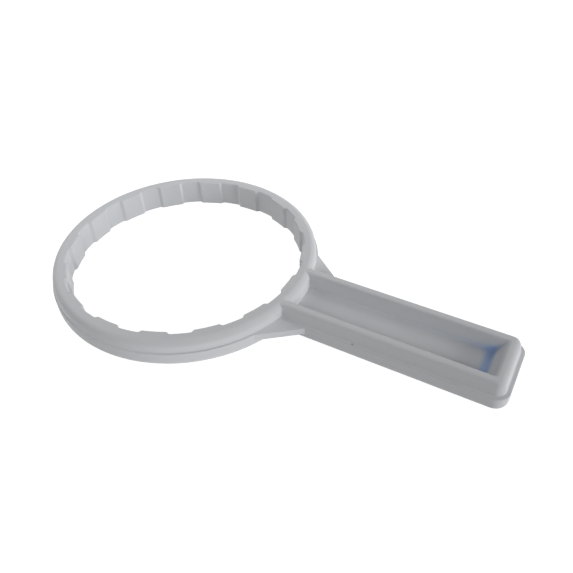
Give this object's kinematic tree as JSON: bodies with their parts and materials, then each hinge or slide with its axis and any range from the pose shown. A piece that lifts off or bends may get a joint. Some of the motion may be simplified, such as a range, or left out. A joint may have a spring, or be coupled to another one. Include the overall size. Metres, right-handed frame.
{
  "type": "filter housing wrench",
  "caption": "One-piece plastic wrench with a lugged ring that grips the ribs of a water filter bowl and a straight channelled handle for turning it.",
  "frame": {"origin": "on the axis of the ring, level with the underside", "axes": "+Z is the ring's axis and points up, +X runs along the handle, +Y completes the frame"},
  "size_m": [0.2305, 0.132, 0.0136],
  "materials": {
    "plastic": "fine matte moulded surface, pale cool grey"
  },
  "bodies": {
    "root": {"wrench": "plastic"}
  },
  "joints": []
}
